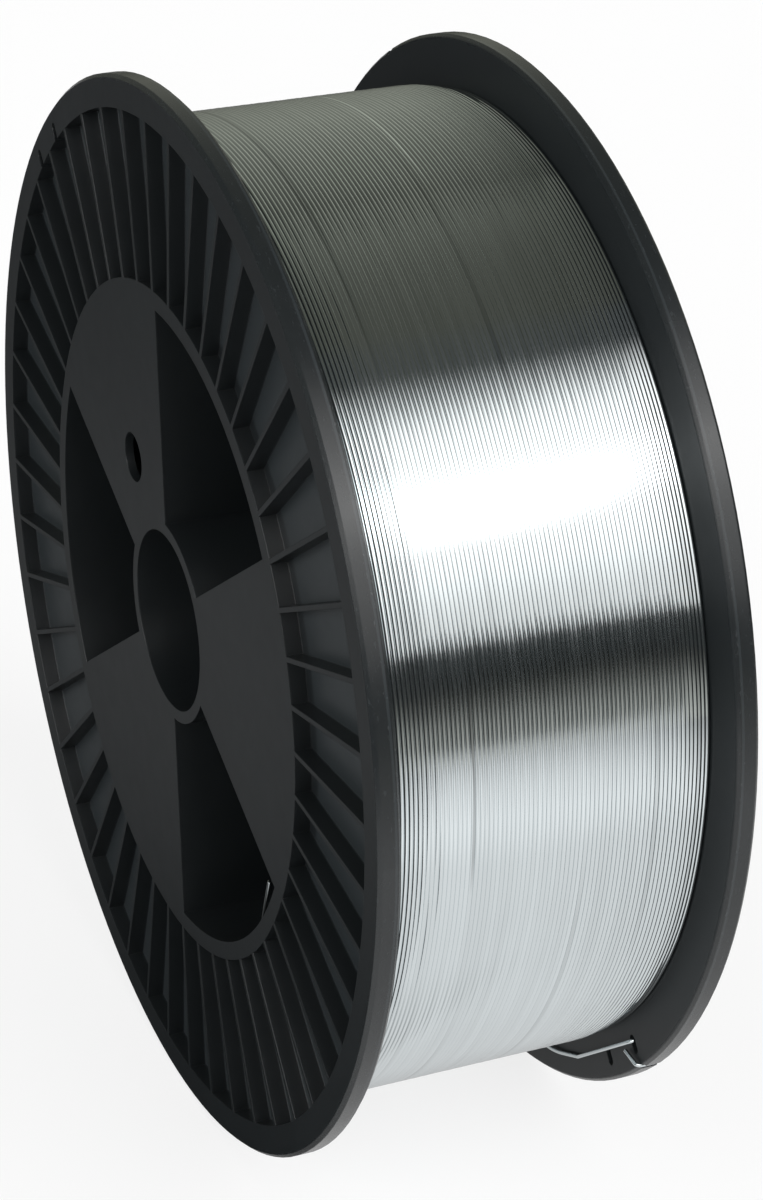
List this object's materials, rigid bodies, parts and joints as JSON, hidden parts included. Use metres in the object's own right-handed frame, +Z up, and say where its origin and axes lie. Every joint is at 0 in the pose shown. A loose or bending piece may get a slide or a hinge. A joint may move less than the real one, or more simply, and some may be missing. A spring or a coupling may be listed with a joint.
{
  "type": "mig welding wire spool",
  "caption": "Full plastic spool of bright aluminium welding wire, with ribbed flanges, open hub sectors and a hub bore for a wire feeder.",
  "frame": {"origin": "on the axle, in the middle of the spool's width", "axes": "+Y along the axle towards the rear flange, +Z up as it stands on its rims"},
  "size_m": [0.3, 0.103, 0.3],
  "materials": {
    "black_plastic": "satin moulded",
    "bright_wire": "bright drawn"
  },
  "bodies": {
    "root": {"spool": "black_plastic", "welding_wire": "bright_wire"}
  },
  "joints": []
}
